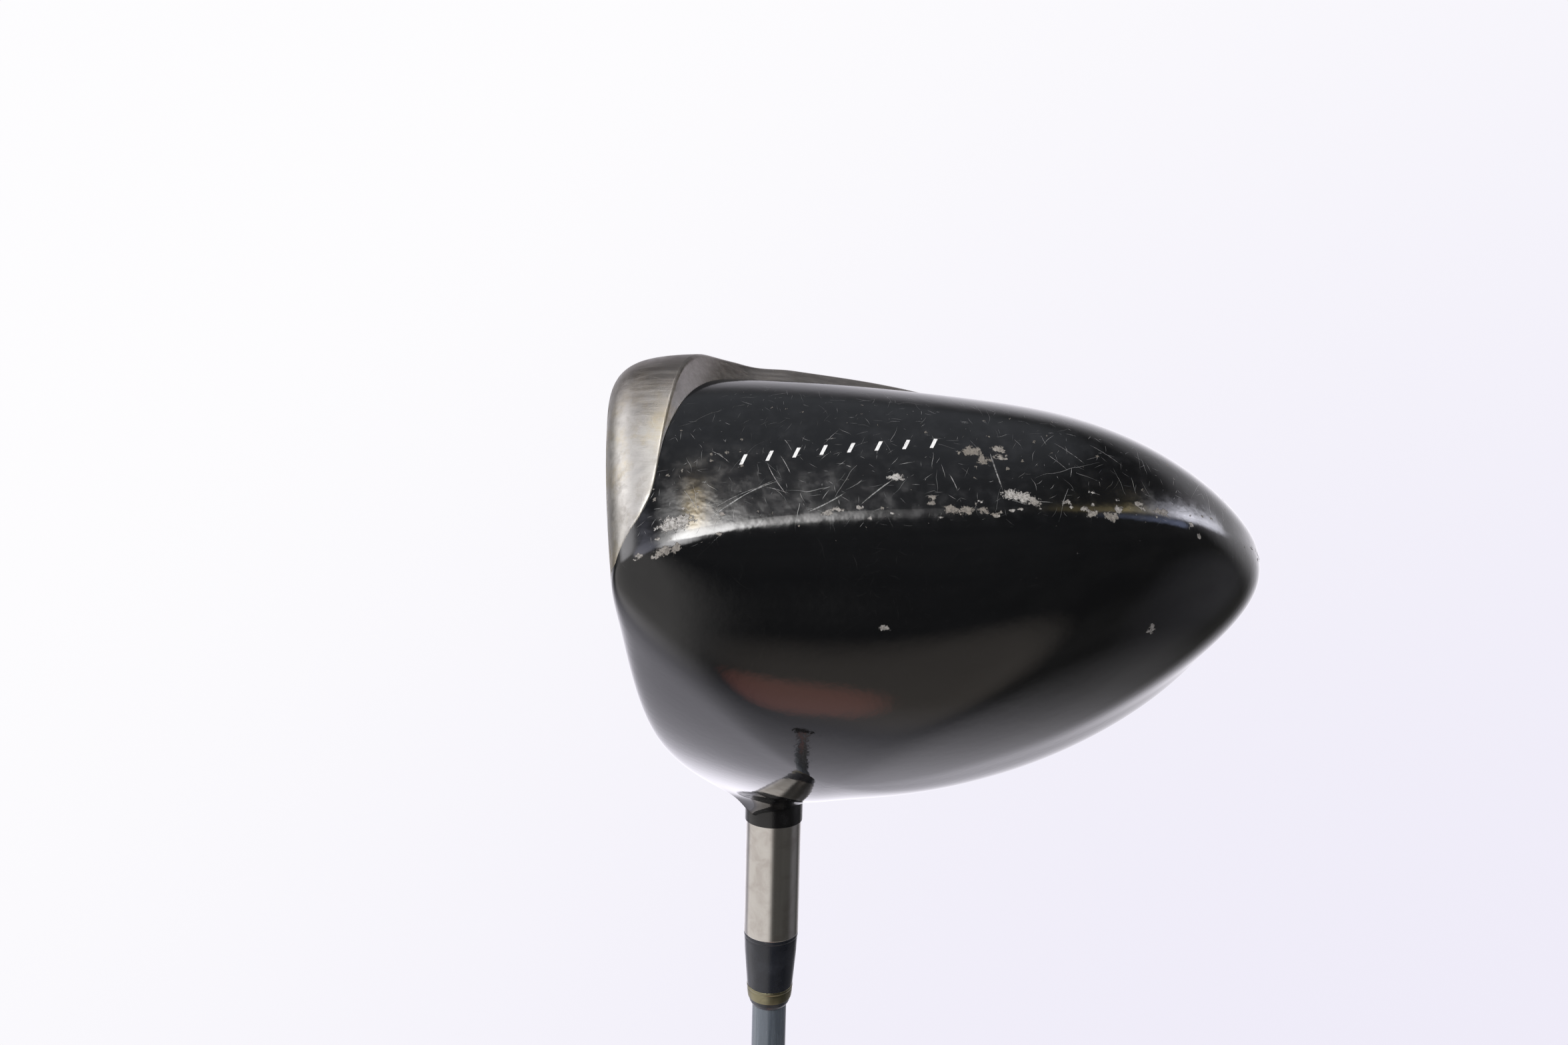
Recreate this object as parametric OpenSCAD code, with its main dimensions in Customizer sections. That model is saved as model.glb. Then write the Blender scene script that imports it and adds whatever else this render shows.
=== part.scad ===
// Golf driver, right-handed, with a welded hollow titanium head and a graphite shaft.
// It stands head-up, as in a bag. The origin is the centre of the butt end, +Z runs up the
// shaft to the head, +X points to the back of the head, and -Y to the toe and the crown.
// The head is drawn in a frame of its own: x to the back, y to the toe, z up from the sole.

/* [Club] */
// Length from the butt to the ground at the sole, along the shaft
club_length = 1143; // [1080:1:1170]
// Angle between the shaft and the ground at address
lie = 58; // [55:0.5:62]
// Angle of the face from the shaft's plane
loft = 10; // [8:0.5:13]

/* [Head] */
// Shaft axis to leading edge, measured towards the back
shaft_set_back = 20.5; // [17:0.5:23]
// Face centre to the point where the shaft axis meets the ground
shaft_offset = 27.7; // [26:0.1:30]
// Height of the crown above the sole
head_height = 63; // [60:0.5:66]
// Wall of the crown and the skirt
shell_wall = 1.2; // [0.8:0.1:1.5]
// Wall of the sole plate
plate_wall = 2; // [1.5:0.1:2.5]
// Wall of the face insert
face_wall = 3; // [2.5:0.1:3.5]
// Step from the skirt to the sole plate at its back edge
plate_lift = 0.6; // [0.4:0.1:1]

/* [Neck] */
// Radius of the bare neck
neck_r = 6.7; // [6.4:0.1:6.8]
// Length of the neck outside the head
neck_out = 30.8; // [25:0.1:35]
// Length of the neck tube inside the head
neck_in = 19; // [17:0.5:21]
// Radius of the black collar at the neck's root
collar_r = 7; // [6.9:0.05:7.2]
// Depth of the shaft bore
bore_depth = 44; // [42:0.5:46]

/* [Shaft and ferrule] */
// Radius of the shaft's parallel tip
tip_r = 4.25; // [4.2:0.05:4.3]
// Radius of the shaft at the butt
butt_r = 7.6; // [7.3:0.05:7.7]
// Length of the ferrule
ferrule_len = 18.2; // [15:0.1:22]
// Glue line around the shaft tip
glue = 0.15; // [0.1:0.05:0.2]

/* [Grip] */
// Length of the grip with its cap
grip_len = 268; // [255:1:275]
// Radius of the grip just above the cap's flare
grip_r = 13.3; // [12.8:0.1:13.8]
// Radius of the grip at its mouth
mouth_r = 9.4; // [9.2:0.1:9.8]
// Radius of the vent hole in the cap
vent_r = 2; // [1.8:0.1:2.2]

/* [Hidden] */
$fn = 64;

// Heights along the shaft
neck_root_z = club_length - 63.3;
neck_end_z = neck_root_z - neck_out;
tube_top_z = neck_root_z + neck_in;
bore_top_z = neck_end_z + bore_depth;
plug_len = 4;
shaft_tip_z = bore_top_z - plug_len;
parallel_z = neck_end_z - 40;
ferrule_end_z = neck_end_z - ferrule_len;
cap_t = 5;
tape_t = 0.4;
tip_bore_r = 2.6;
pin_len = 22;

// The ridge where the crown meets the skirt: control points of a closed curve round the head,
// [back, toe, up], from the face centre round the toe, the back and the heel.
ridge = [[-5, 4, 56], [1, 45, 46], [1, 60, 43], [30, 56, 34], [62, 55, 32], [90, 52, 28],
         [115, 20, 22], [114, 0, 16], [109, -32, 26], [77, -51, 25], [40, -60, 33],
         [14, -67, 55], [4, -38, 55]];
turn = len(ridge);
apex = [32, 8, head_height];
crown_bend = [205, 220];
sole_mid = [38, 39];
sole_bend = [255, 230];
face_mid_z = 25;
face_roll = 300;

// The shaft's axis in the head's frame, and the room the shells leave round the collar
neck_foot = [shaft_set_back, -shaft_offset, 0];
neck_way = [0, cos(lie), -sin(lie)];
neck_clear = 0.15;

// How square each section is: 2 is an ellipse, 8 is nearly a box
crown_square = 2.1;
back_square = 3.4;
skirt_square = 4.4;
plate_square = 8;

// Lower edge of the skirt where the sole plate begins: [place round the head, place down the
// section], where 1 is the ridge and 2 is the middle of the sole
plate_edge = [[1.75, 1], [2, 1.05], [2.15, 1.09], [2.25, 1.15], [2.33, 1.27], [2.4, 1.35],
              [2.5, 1.45], [2.65, 1.51], [3, 1.53], [4, 1.56], [5, 1.62], [6.5, 1.68],
              [7.5, 1.68], [9, 1.6], [10.3, 1.54], [11.1, 1.5], [11.4, 1.42], [11.55, 1.3],
              [11.65, 1.15], [11.8, 1]];
// Lower edge of the face insert
insert_edge = [[-1.06, 1.2], [-0.9, 1.4], [-0.6, 1.47], [1.1, 1.47], [1.45, 1.4], [1.6, 1.2]];
insert_heel = -1.07;
insert_toe = 1.6;

// Places round the head where the shells have points
front_cols = concat([-1.06, -0.98, -0.9, -0.75], [for (a = [-0.5:0.25:1]) a],
                    [1.2, 1.4, 1.5, 1.59]);
toe_cols = [1.77, 1.9, 2.05, 2.18, 2.26, 2.33, 2.4, 2.5, 2.65, 2.8];
back_cols = [for (i = [0:21]) 3 + i * 0.35];
heel_cols = concat([for (i = [0:9]) 10.55 + i * 0.1], [11.55, 11.62, 11.7, 11.78]);
side_cols = concat(toe_cols, back_cols, heel_cols);
all_cols = concat(front_cols, [1.61], side_cols, [11.92]);

// Smooth rise from 0 at a to 1 at b
function rise(x, a, b) = let (t = max(0, min(1, (x - a) / (b - a)))) t * t * (3 - 2 * t);
function unit(v) = v / norm(v);

// Point of the ridge at a, which runs from 0 to the number of control points
function ridge_at(a) =
    let (i = floor(a), f = a - i, n = turn)
    (pow(1 - f, 3) * ridge[(i - 1 + n) % n]
     + (3 * pow(f, 3) - 6 * f * f + 4) * ridge[(i + n) % n]
     + (-3 * pow(f, 3) + 3 * f * f + 3 * f + 1) * ridge[(i + 1 + n) % n]
     + pow(f, 3) * ridge[(i + 2 + n) % n]) / 6;

// Distance out and height on a rounded section, both from 0 to 1
function section(angle, square) =
    let (c = abs(cos(angle)), s = abs(sin(angle)),
         r = pow(pow(c, square) + pow(s, square), 1 / square))
    [c / r, s / r];

// Place down the section where it has come in to the fraction out
function place_at(out, square) = 1 + atan(pow(pow(out, -square) - 1, 1 / square)) / 90;

function square_at(a, front) = front + (back_square - front) * rise(ridge_at(a).x, 5, 75);

// Point of the head's outside: w is 0 at the apex, 1 on the ridge and 2 at the sole's middle.
// front is the squareness of the lower section at the front of the head.
function head_point(a, w, front) =
    let (o = ridge_at(a),
         s = section(90 * (w - 1), w < 1 ? crown_square : square_at(a, front)),
         x = apex.x + (o.x - apex.x) * s.x,
         y = apex.y + (o.y - apex.y) * s.x,
         top = apex.z - pow(x - apex.x, 2) / (2 * crown_bend.x)
                      - pow(y - apex.y, 2) / (2 * crown_bend.y),
         low = pow(x - sole_mid.x, 2) / (2 * sole_bend.x)
               + pow(y - sole_mid.y, 2) / (2 * sole_bend.y),
         z = o.z + ((w < 1 ? top : low) - o.z) * s.y,
         h = z - face_mid_z,
         lean = (1 - rise(x, 0, 70)) * (h * tan(loft) + h * h / (2 * face_roll)))
    [x + lean, y, z];

function head_normal(a, w, front) =
    let (d = 0.01)
    unit(cross(head_point(a + d, w, front) - head_point(a - d, w, front),
               head_point(a, w + d, front) - head_point(a, w - d, front)));

// Point at a depth under the outside; a negative depth stands proud of it
function under(a, w, front, depth) =
    head_point(a, w, front) - head_normal(a, w, front) * depth;

function skirt_end(a) = lookup(a, plate_edge);
// Distance of the skirt or crown from the neck's axis
function neck_gap(a, w) =
    norm(cross(head_point(a, w, skirt_square) - neck_foot, neck_way)) - collar_r;

// From w towards the ridge, in steps, as far as the collar lets the shell go
function to_neck(a, w, step) =
    (w + step - 1) * sign(step) > 0 ? 1
    : neck_gap(a, w + step) < neck_clear ? w : to_neck(a, w + step, step);
function crown_rim(a) = to_neck(a, 0.6, 0.01);
function skirt_top(a) = to_neck(a, skirt_end(a), -0.01);

function in_insert(a) = a > insert_heel && a < insert_toe;
function insert_end(a) = lookup(a, insert_edge);

// Where the sole plate's top surface begins at a
function plate_start(a) =
    let (e = skirt_end(a),
         out = section(90 * (e - 1), square_at(a, skirt_square)).x,
         full = place_at(out - 0.01, square_at(a, plate_square)))
    in_insert(a) ? insert_end(a) : e + 0.01 + max(0, full - e) * rise(e, 1.25, 1.5);

// Point of the sole plate at a depth under its top surface
function plate_point(a, w, depth) =
    under(a, w, plate_square, depth - plate_lift * rise(w, 1.35, 1.5));

// A closed solid between an outer and an inner grid of points, given as columns of rows.
// cap is 0 for an open strip, or -1 or 1 where the first or the last row closes on a pole.
module shell(outer, inner, closed, cap = 0, poles = []) {
    nc = len(outer);
    nr = len(outer[0]);
    size = nc * nr;
    points = concat([for (c = outer) each c], [for (c = inner) each c], poles);
    last = closed ? nc - 1 : nc - 2;
    faces = concat(
        [for (i = [0:last], j = [0:nr - 2])
            let (k = (i + 1) % nc, a = i * nr + j, b = k * nr + j)
            each [[a, a + 1, b + 1], [a, b + 1, b],
                  [size + a, size + b, size + b + 1], [size + a, size + b + 1, size + a + 1]]],
        [for (i = [0:last])
            let (k = (i + 1) % nc, a = i * nr, b = k * nr, p = 2 * size)
            each cap == -1 ? [[p, a, b], [p + 1, size + b, size + a]]
                           : [[size + a, a, b], [size + a, b, size + b]]],
        [for (i = [0:last])
            let (k = (i + 1) % nc, a = i * nr + nr - 1, b = k * nr + nr - 1, p = 2 * size)
            each cap == 1 ? [[a, p, b], [size + a, size + b, p + 1]]
                          : [[a, size + a, size + b], [a, size + b, b]]],
        closed ? [] : [for (j = [0:nr - 2])
            let (b = size - nr + j)
            each [[size + j, size + j + 1, j + 1], [size + j, j + 1, j],
                  [size + b, b, b + 1], [size + b, b + 1, size + b + 1]]]);
    polyhedron(points, faces);
}

// The head's frame, set on the shaft
module in_head() {
    translate([0, 0, club_length])
        rotate([90 + lie, 0, 0])
            translate([-shaft_set_back, shaft_offset, 0])
                children();
}

// A slab that follows the inside of a wall
module slab(cols, rows, front, from, to) {
    in_head()
        shell([for (a = cols) [for (w = rows) under(a, w, front, from)]],
              [for (a = cols) [for (w = rows) under(a, w, front, to)]], false);
}

module face_plate() {
    rows = 6;
    places = [for (a = front_cols) [for (j = [0:rows]) 1 + (insert_end(a) - 1) * j / rows]];
    color("darkgray")
        in_head()
            shell([for (i = [0:len(front_cols) - 1])
                      [for (w = places[i]) under(front_cols[i], w, plate_square, 0)]],
                  [for (i = [0:len(front_cols) - 1])
                      [for (w = places[i]) under(front_cols[i], w, plate_square, face_wall)]],
                  false);
}

module sole_plate() {
    rows = 8;
    reach = 0.95;
    color("darkkhaki")
        in_head()
            shell([for (a = all_cols)
                      let (s = plate_start(a))
                      concat([in_insert(a) ? head_point(a, s - 0.01, plate_square)
                                           : head_point(a, skirt_end(a), skirt_square)],
                             [for (j = [0:rows])
                                 plate_point(a, s + (1 + reach - s) * j / rows, 0)])],
                  [for (a = all_cols)
                      let (s = plate_start(a))
                      concat([in_insert(a) ? under(a, s - 0.01, plate_square, plate_wall)
                                           : under(a, skirt_end(a), skirt_square, shell_wall)],
                             [for (j = [0:rows])
                                 plate_point(a, s + (1 + reach - s) * j / rows, plate_wall)])],
                  true, 1,
                  [for (depth = [0, plate_wall])
                      head_point(0, 2, plate_square) + [0, 0, depth - plate_lift]]);
}

module skirt_shell() {
    rows = 6;
    places = [for (a = side_cols) let (top = skirt_top(a))
                 [for (j = [0:rows]) top + (skirt_end(a) - top) * j / rows]];
    color("dimgray")
        in_head()
            shell([for (i = [0:len(side_cols) - 1])
                      [for (w = places[i]) head_point(side_cols[i], w, skirt_square)]],
                  [for (i = [0:len(side_cols) - 1])
                      [for (w = places[i]) under(side_cols[i], w, skirt_square, shell_wall)]],
                  false);
}

module crown_shell() {
    rows = 9;
    places = [for (a = all_cols) let (rim = crown_rim(a))
                 [for (j = [0:rows]) 0.1 + (rim - 0.1) * j / rows]];
    color("black")
        in_head()
            shell([for (i = [0:len(all_cols) - 1])
                      [for (w = places[i]) head_point(all_cols[i], w, back_square)]],
                  [for (i = [0:len(all_cols) - 1])
                      [for (w = places[i]) under(all_cols[i], w, back_square, shell_wall)]],
                  true, -1, [apex, apex - [0, 0, shell_wall]]);
}

module hosel_tube() {
    floor_z = bore_top_z;
    color("silver")
        rotate_extrude()
            polygon([[tip_r + glue, neck_end_z], [neck_r, neck_end_z], [neck_r, tube_top_z],
                     [0, tube_top_z], [0, floor_z], [tip_r + glue, floor_z]]);
}

module collar_ring() {
    low_z = neck_root_z - 2.5;
    color("black")
        rotate_extrude()
            polygon([[neck_r, low_z], [collar_r - 0.1, low_z], [collar_r, low_z + 0.3],
                     [collar_r, tube_top_z - 1], [neck_r, tube_top_z - 1]]);
}

module seam_weld() {
    color("gray") slab([for (i = [0:32]) 1.95 + i * 0.25], [0.97, 1.03], skirt_square,
                       shell_wall, shell_wall + 1);
}

module face_weld() {
    bead = 0.02;
    color("gray")
        in_head()
            shell([for (a = front_cols) [for (s = [-bead, bead])
                      under(a, insert_end(a) + s, plate_square, face_wall)]],
                  [for (a = front_cols) [for (s = [-bead, bead])
                      under(a, insert_end(a) + s, plate_square, face_wall + 1)]], false);
}

module sole_ribs() {
    half = 0.12;
    depth = 4;
    color("darkkhaki")
        in_head()
            for (a = [4.4, 6.8, 9.2])
                shell([for (s = [-half, half]) [for (w = [1.72:0.04:1.88])
                          plate_point(a + s, w, plate_wall)]],
                      [for (s = [-half, half]) [for (w = [1.72:0.04:1.88])
                          plate_point(a + s, w, plate_wall + depth)]], false);
}

module rear_weight() {
    color("dimgray") slab([for (a = [5.6:0.2:8.2]) a], [for (w = [1.08:0.08:1.4]) w],
                          skirt_square, shell_wall, shell_wall + 3);
}

module hot_melt_pad() {
    color("wheat")
        in_head()
            shell([for (a = [0.6:0.3:3]) [for (w = [1.58:0.06:1.76])
                      plate_point(a, w, plate_wall)]],
                  [for (a = [0.6:0.3:3]) [for (w = [1.58:0.06:1.76])
                      plate_point(a, w, plate_wall + 2)]], false);
}

module bore_plug() {
    color("dimgray") translate([0, 0, shaft_tip_z]) cylinder(r = tip_r + glue, h = plug_len);
}

module epoxy_bond() {
    color("khaki")
        translate([0, 0, neck_end_z])
            difference() {
                cylinder(r = tip_r + glue, h = shaft_tip_z - neck_end_z);
                translate([0, 0, -1]) cylinder(r = tip_r, h = bore_depth);
            }
}

module tip_weight() {
    color("goldenrod")
        translate([0, 0, shaft_tip_z - pin_len]) cylinder(r = tip_bore_r, h = pin_len);
}

module tip_plug() {
    plug = 10;
    color("burlywood")
        translate([0, 0, shaft_tip_z - pin_len - plug]) cylinder(r = tip_bore_r, h = plug);
}

// Ferrule outside, falling from the neck to the shaft, with a groove for the ring
ring_top = 13.3;
ring_end = 16.4;
ring_t = 0.6;
module ferrule() {
    color("black")
        translate([0, 0, neck_end_z])
            rotate_extrude()
                polygon([[tip_r, 0], [neck_r - 0.05, 0], [6.35, -4.5], [6.05, -8],
                         [5.6, -ring_top], [5.6 - ring_t, -ring_top], [5.3 - ring_t, -ring_end],
                         [5.2, -ring_end], [4.95, -ring_end - 1], [4.5, -ferrule_len],
                         [tip_r, -ferrule_len]]);
}

module ferrule_ring() {
    color("darkgoldenrod")
        translate([0, 0, neck_end_z])
            rotate_extrude()
                polygon([[5.6 - ring_t, -ring_top], [5.65, -ring_top], [5.62, -ring_top - 1.5],
                         [5.3, -ring_end], [5.3 - ring_t, -ring_end]]);
}

function shaft_r(z) = z > parallel_z ? tip_r : butt_r + (tip_r - butt_r) * z / parallel_z;

module shaft() {
    butt_wall = 1.1;
    color("slategray")
        rotate_extrude()
            polygon([[shaft_r(0) - butt_wall, cap_t], [shaft_r(cap_t), cap_t],
                     [tip_r, parallel_z], [tip_r, shaft_tip_z - 0.5], [tip_r - 0.5, shaft_tip_z],
                     [tip_bore_r, shaft_tip_z], [tip_bore_r, shaft_tip_z - pin_len - 12]]);
}

// A thin sleeve that follows the shaft's taper
module sleeve(z0, z1, t) {
    rotate_extrude()
        polygon([[shaft_r(z0), z0], [shaft_r(z0) + t, z0], [shaft_r(z1) + t, z1],
                 [shaft_r(z1), z1]]);
}

module shaft_bands() {
    color("silver") {
        sleeve(grip_len + 22, grip_len + 34, 0.12);
        sleeve(grip_len + 38, grip_len + 41, 0.12);
    }
}

module grip_tape() {
    color("ivory") sleeve(cap_t, grip_len - 6, tape_t);
}

module grip() {
    color("dimgray")
        rotate_extrude()
            polygon([[shaft_r(cap_t) + tape_t, cap_t], [grip_r + 1.3, cap_t],
                     [grip_r + 1.3, 9], [grip_r + 0.9, 13], [grip_r + 0.2, 21], [grip_r, 30],
                     [grip_r - 1.1, 80], [grip_r - 2.6, 170], [mouth_r, grip_len - 3],
                     [mouth_r - 0.5, grip_len - 0.6], [mouth_r - 1.1, grip_len],
                     [shaft_r(grip_len), grip_len], [shaft_r(grip_len - 6), grip_len - 6],
                     [shaft_r(grip_len - 6) + tape_t, grip_len - 6]]);
}

module grip_cap() {
    edge = 1.2;
    color("black")
        difference() {
            rotate_extrude()
                polygon([[0, 0], [grip_r - edge, 0], [grip_r + 0.8, edge],
                         [grip_r + 1.3, 2 * edge], [grip_r + 1.3, cap_t], [0, cap_t]]);
            translate([0, 0, -1]) cylinder(r = vent_r, h = cap_t + 2);
        }
}

face_plate();
sole_plate();
skirt_shell();
crown_shell();
hosel_tube();
collar_ring();
seam_weld();
face_weld();
sole_ribs();
rear_weight();
hot_melt_pad();
bore_plug();
epoxy_bond();
tip_weight();
tip_plug();
ferrule();
ferrule_ring();
shaft();
shaft_bands();
grip_tape();
grip();
grip_cap();
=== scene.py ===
"""Golf driver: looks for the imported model. Shapes are worked out in millimetres and made in metres."""

import math

import bpy
import numpy as np
from mathutils import Matrix, Vector


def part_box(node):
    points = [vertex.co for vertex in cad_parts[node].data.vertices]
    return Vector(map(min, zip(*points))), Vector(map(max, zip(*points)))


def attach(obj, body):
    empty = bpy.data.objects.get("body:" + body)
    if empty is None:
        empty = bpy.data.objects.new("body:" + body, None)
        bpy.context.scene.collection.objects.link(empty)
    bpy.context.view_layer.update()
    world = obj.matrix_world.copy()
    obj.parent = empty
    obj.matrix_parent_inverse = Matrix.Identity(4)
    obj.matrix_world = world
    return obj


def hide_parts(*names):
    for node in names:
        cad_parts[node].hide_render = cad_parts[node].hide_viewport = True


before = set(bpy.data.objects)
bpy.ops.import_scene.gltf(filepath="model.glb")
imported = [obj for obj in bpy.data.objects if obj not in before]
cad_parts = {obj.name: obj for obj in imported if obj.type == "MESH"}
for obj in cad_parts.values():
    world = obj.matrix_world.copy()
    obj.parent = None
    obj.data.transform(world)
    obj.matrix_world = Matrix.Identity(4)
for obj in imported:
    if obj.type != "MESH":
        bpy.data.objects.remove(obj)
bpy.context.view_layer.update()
scene = bpy.context.scene

MM = 0.001
FULL_TURN = 2 * math.pi

# -------- driving dimensions, millimetres

CLUB_LENGTH = 1143
LIE = math.radians(58)
LOFT = math.radians(10)
SHAFT_SET_BACK = 20.5
SHAFT_OFFSET = 27.7
HEAD_HEIGHT = 63
SHELL_WALL = 1.2
PLATE_WALL = 2.0
FACE_WALL = 3.0
PLATE_LIFT = 0.6

# The ridge round the head, [back, toe, up]: control points of a closed curve from the face centre. A
# place round the head, called a, is counted in these points
RIDGE = np.array([[-5, 4, 56], [1, 45, 46], [1, 60, 43], [30, 56, 34], [62, 55, 32], [90, 52, 28],
                  [115, 20, 22], [114, 0, 16], [109, -32, 26], [77, -51, 25], [40, -60, 33],
                  [14, -67, 55], [4, -38, 55]], float)
TURN = len(RIDGE)
APEX = np.array([32.0, 8.0, HEAD_HEIGHT])
CROWN_BEND = (205, 220)
SOLE_MID = (38, 39)
SOLE_BEND = (255, 230)
FACE_MID_UP = 25
FACE_ROLL = 300

# The shaft's axis in the head's frame, and the flare by which the paint runs up to the neck
NECK_FOOT = np.array([SHAFT_SET_BACK, -SHAFT_OFFSET, 0])
NECK_WAY = np.array([0, math.cos(LIE), -math.sin(LIE)])
FLARE = 3.2
FLARE_REACH = 6.5

# How square the sections are, 2 being round, and how far down them the ridge is softened
CROWN_SQUARE = 2.1
BACK_SQUARE = 3.4
SKIRT_SQUARE = 4.4
PLATE_SQUARE = 8
RIDGE_SOFT = 0.026
RIDGE_NEAR = 0.16

# Edges, as place round the head and place down the section: the painted skirt's lower edge, and
# the face insert's edge
PLATE_EDGE = [[1.75, 1], [2, 1.05], [2.15, 1.09], [2.25, 1.15], [2.33, 1.27], [2.4, 1.35],
              [2.5, 1.45], [2.65, 1.51], [3, 1.53], [4, 1.56], [5, 1.62], [6.5, 1.68],
              [7.5, 1.68], [9, 1.6], [10.3, 1.54], [11.1, 1.5], [11.4, 1.42], [11.55, 1.3],
              [11.65, 1.15], [11.8, 1]]
INSERT_EDGE = [[-1.06, 1.2], [-0.85, 1.36], [-0.5, 1.47], [0.2, 1.53], [0.8, 1.5], [1.15, 1.45],
               [1.4, 1.36], [1.6, 1.2]]
INSERT_HEEL = INSERT_EDGE[0][0]
INSERT_TOE = INSERT_EDGE[-1][0]

# Along the shaft, read from the frame where a CAD box has them
NECK_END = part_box("hosel_tube")[0].z / MM
NECK_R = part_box("hosel_tube")[1].x / MM
COLLAR_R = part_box("collar_ring")[1].x / MM
SHAFT_BUTT_R = 7.6
SHAFT_TIP_R = 4.25
PARALLEL_FROM = NECK_END - 40
FERRULE_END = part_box("ferrule")[0].z / MM
GRIP_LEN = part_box("grip")[1].z / MM
GRIP_FLARE_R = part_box("grip")[1].x / MM
SOLE_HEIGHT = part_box("sole_plate")[1].z / MM
CAP_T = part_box("grip_cap")[1].z / MM


# -------- the head's surface

def rise(x, a, b):
    """Smooth change from 0 at a to 1 at b."""
    t = np.clip((x - a) / (b - a), 0, 1)
    return t * t * (3 - 2 * t)


def smooth_lookup(x, table):
    """Value at x on a smooth curve through the table's points."""
    xs, ys = np.array(table, float).T
    slope = np.gradient(ys, xs)
    x = np.clip(x, xs[0], xs[-1])
    i = np.clip(np.searchsorted(xs, x) - 1, 0, len(xs) - 2)
    h = xs[i + 1] - xs[i]
    t = (x - xs[i]) / h
    return ((2 * t**3 - 3 * t**2 + 1) * ys[i] + (t**3 - 2 * t**2 + t) * h * slope[i]
            + (3 * t**2 - 2 * t**3) * ys[i + 1] + (t**3 - t**2) * h * slope[i + 1])


def ridge_at(a):
    i = np.floor(a).astype(int)
    f = (a - i)[..., None]
    return ((1 - f)**3 * RIDGE[(i - 1) % TURN]
            + (3 * f**3 - 6 * f**2 + 4) * RIDGE[i % TURN]
            + (-3 * f**3 + 3 * f**2 + 3 * f + 1) * RIDGE[(i + 1) % TURN]
            + f**3 * RIDGE[(i + 2) % TURN]) / 6


def square_at(a, front):
    """How square the section is at a, from front at the face to BACK_SQUARE at the back."""
    return front + (BACK_SQUARE - front) * rise(ridge_at(a)[..., 0], 5, 75)


def section(w, square):
    """Distance out and height on a rounded section, both from 0 to 1."""
    angle = (w - 1) * math.pi / 2
    c, s = np.abs(np.cos(angle)), np.abs(np.sin(angle))
    r = (c**square + s**square)**(1 / square)
    return c / r, s / r


def sharp_point(a, w, front):
    """Point of the head's sharp outside in its own frame, millimetres back, to the toe and up. a is the place
    round the head, and w the place down the section: 0 at the apex, 1 on the ridge, 2 at the sole."""
    a, w = np.broadcast_arrays(np.asarray(a, float), np.asarray(w, float))
    o = ridge_at(a)
    out, high = section(w, np.where(w < 1, CROWN_SQUARE, square_at(a, front)))
    x = APEX[0] + (o[..., 0] - APEX[0]) * out
    y = APEX[1] + (o[..., 1] - APEX[1]) * out
    top = APEX[2] - (x - APEX[0])**2 / (2 * CROWN_BEND[0]) - (y - APEX[1])**2 / (2 * CROWN_BEND[1])
    low = (x - SOLE_MID[0])**2 / (2 * SOLE_BEND[0]) + (y - SOLE_MID[1])**2 / (2 * SOLE_BEND[1])
    z = o[..., 2] + (np.where(w < 1, top, low) - o[..., 2]) * high
    h = z - FACE_MID_UP
    lean = (1 - rise(x, 0, 70)) * (h * math.tan(LOFT) + h * h / (2 * FACE_ROLL))
    point = np.stack([x + lean, y, z], -1)
    off = point - NECK_FOOT
    away = np.linalg.norm(np.cross(off, NECK_WAY), axis=-1)
    flare = FLARE * np.exp(-(np.maximum(away - COLLAR_R, 0) / FLARE_REACH)**2) * rise(z, 22, 44)
    return point + flare[..., None] * -NECK_WAY


def head_point(a, w, front):
    """Point of the head's outside with the ridge a little softened, as paint softens it."""
    a, w, front = (np.array(v, float) for v in np.broadcast_arrays(a, w, front))
    point = sharp_point(a, w, front)
    near = np.abs(w - 1) < RIDGE_NEAR
    a, w, front = a[near], w[near], front[near]
    reach = RIDGE_SOFT * (1 - rise(np.abs(w - 1), 0.06, RIDGE_NEAR))
    beside = sharp_point(a, w - reach, front) + sharp_point(a, w + reach, front)
    point[near] = 0.5 * point[near] + 0.25 * beside
    return point


def spread(a, w):
    """Each column's place round the head, repeated down the column."""
    return np.broadcast_to(a[:, None], w.shape)


def unit(v):
    return v / (np.linalg.norm(v, axis=-1, keepdims=True) + 1e-12)


def head_normal(a, w, front):
    d = 0.004
    w = np.maximum(w, 0.02)
    return -unit(np.cross(head_point(a, w + d, front) - head_point(a, w - d, front),
                          head_point(a + d, w, front) - head_point(a - d, w, front)))


def under(a, w, front, depth):
    """Point at a depth in millimetres under the outside."""
    return head_point(a, w, front) - head_normal(a, w, front) * np.asarray(depth)[..., None]


def skirt_end(a):
    return np.clip(smooth_lookup(a, PLATE_EDGE), 1, 2)


def insert_end(a):
    return smooth_lookup((a + TURN / 2) % TURN - TURN / 2, INSERT_EDGE)


def plate_start(a):
    """Where the sole plate's top surface begins."""
    edge = skirt_end(a)
    square = square_at(a, PLATE_SQUARE)
    out = section(edge, square_at(a, SKIRT_SQUARE))[0] - 0.01
    full = 1 + np.arctan((np.minimum(out, 0.9999)**-square - 1)**(1 / square)) * 2 / math.pi
    return edge + 0.01 + np.maximum(0, full - edge) * rise(edge, 1.25, 1.5)


def plate_point(a, w, depth):
    return under(a, w, PLATE_SQUARE, depth - PLATE_LIFT * rise(w, 1.35, 1.5))


# The head's back, toe and up directions in the club's frame
HEAD_WAYS = np.array([[1, 0, 0], [0, -math.sin(LIE), math.cos(LIE)], [0, -math.cos(LIE), -math.sin(LIE)]])


def to_club(points):
    """From the head's frame to the club's, still in millimetres."""
    return (points - NECK_FOOT) @ HEAD_WAYS + [0, 0, CLUB_LENGTH]


fine_a = np.linspace(0, TURN, 4001)
fine_ridge = ridge_at(fine_a)
ridge_arc = np.concatenate([[0], np.cumsum(np.linalg.norm(np.diff(fine_ridge, axis=0), axis=1))])


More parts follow.
